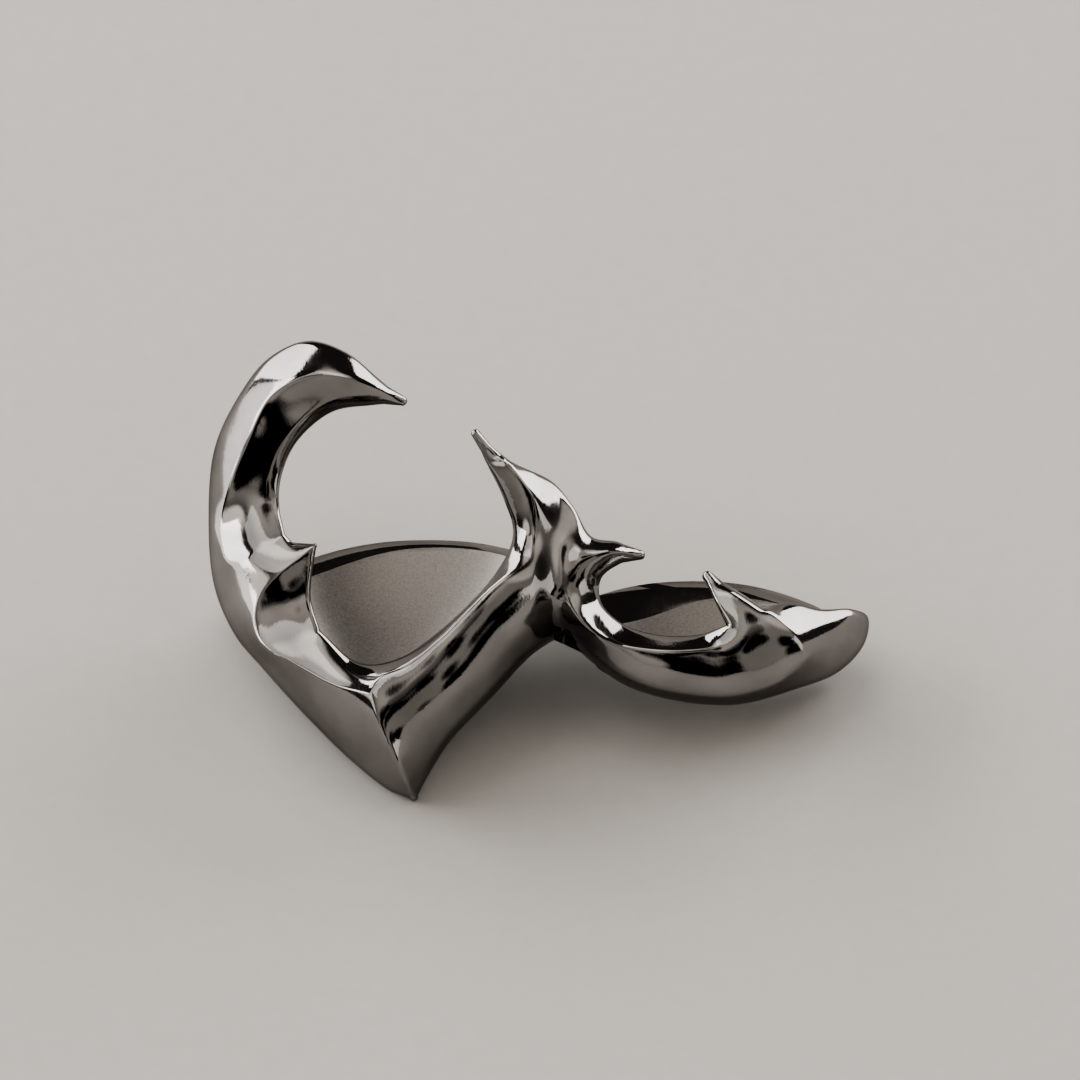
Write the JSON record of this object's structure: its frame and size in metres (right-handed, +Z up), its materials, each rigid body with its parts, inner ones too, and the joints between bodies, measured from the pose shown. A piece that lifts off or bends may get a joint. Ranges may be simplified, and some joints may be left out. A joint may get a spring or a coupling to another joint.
{
  "type": "fang grillz",
  "caption": "Open-face fang grillz for a canine and the lateral incisor beside it: a polished metal casting with thorn-like arms round open windows and a drawn-out fang point.",
  "frame": {"origin": "middle of the footprint, on the surface that the piece rests on", "axes": "+X from the canine end to the lateral incisor end, +Z up as the piece lies on its lingual side with its face up, -Y towards the side that the fang points to"},
  "size_m": [0.016, 0.0104, 0.0071],
  "materials": {
    "polished_silver": "mirror polished outside, satin as cast inside"
  },
  "bodies": {
    "root": {"grillz_casting": "polished_silver"}
  },
  "joints": []
}
